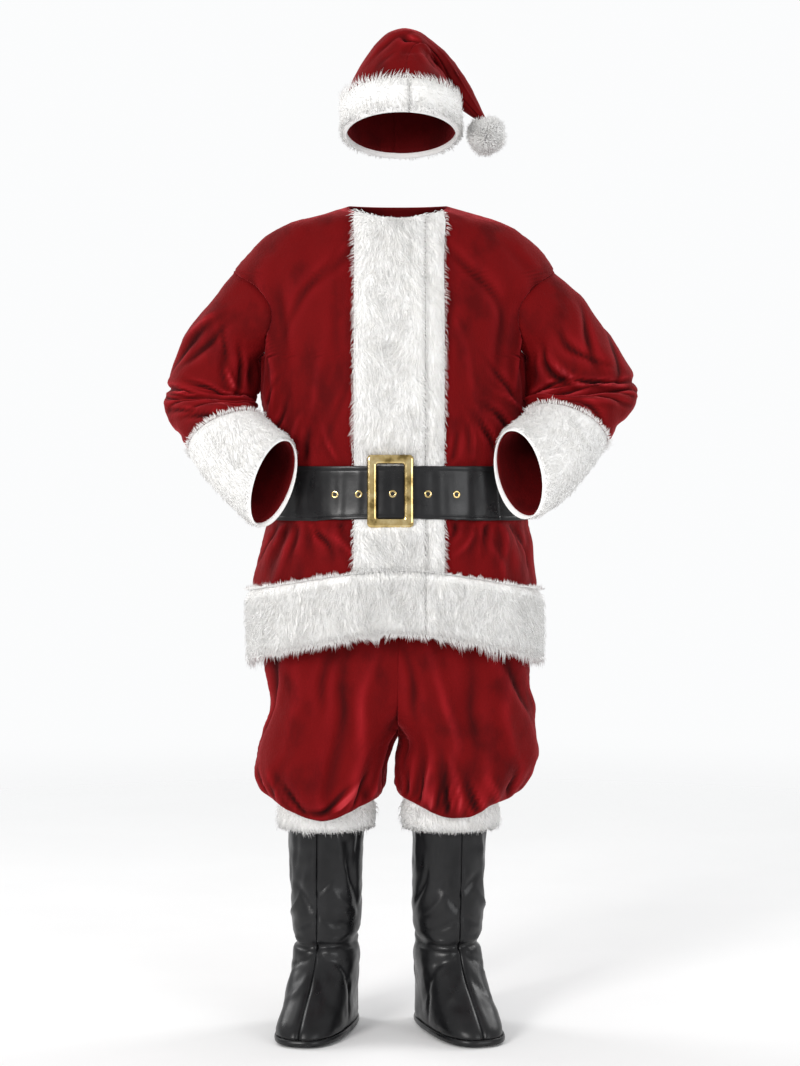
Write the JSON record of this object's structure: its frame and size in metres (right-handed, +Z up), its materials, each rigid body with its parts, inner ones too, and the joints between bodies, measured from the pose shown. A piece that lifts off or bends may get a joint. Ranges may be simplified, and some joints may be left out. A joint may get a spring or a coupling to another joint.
{
  "type": "santa suit",
  "caption": "Father Christmas suit in the shape it is worn: plush jacket and knee trousers with fur bands, belt with framed buckle, boot covers and folded hat.",
  "frame": {"origin": "middle of the jacket's neck opening, level with the wearer's neck, 1.515 m above the ground that the wearer stands on", "axes": "+Z up, the front of the suit faces -Y, +X to the viewer's right"},
  "size_m": [0.8791, 0.4124, 1.859],
  "materials": {
    "plush": "matte",
    "fur": "matte",
    "vinyl": "satin",
    "brass": "polished",
    "satin": "satin"
  },
  "bodies": {
    "root": {"jacket_front_left": "plush", "jacket_front_right": "plush", "jacket_back": "plush", "sleeve_left": "plush", "sleeve_right": "plush", "cuff_left": "fur", "cuff_right": "fur", "front_band_over": "fur", "front_band_under": "fur", "hem_band_front_left": "fur", "hem_band_front_right": "fur", "hem_band_back": "fur", "hem_facing": "satin", "belt_strap": "vinyl", "belt_buckle": "brass", "eyelet_1": "brass", "eyelet_2": "brass", "eyelet_3": "brass", "eyelet_4": "brass", "eyelet_5": "brass", "trouser_front_left": "plush", "trouser_front_right": "plush", "trouser_back_left": "plush", "trouser_back_right": "plush", "waistband": "plush", "knee_cuff_left": "fur", "knee_cuff_right": "fur", "boot_left_outer": "vinyl", "boot_left_inner": "vinyl", "boot_left_binding": "vinyl", "boot_right_outer": "vinyl", "boot_right_inner": "vinyl", "boot_right_binding": "vinyl", "hat_crown_left": "plush", "hat_crown_right": "plush", "hat_band": "fur", "hat_pompom": "fur"}
  },
  "joints": []
}
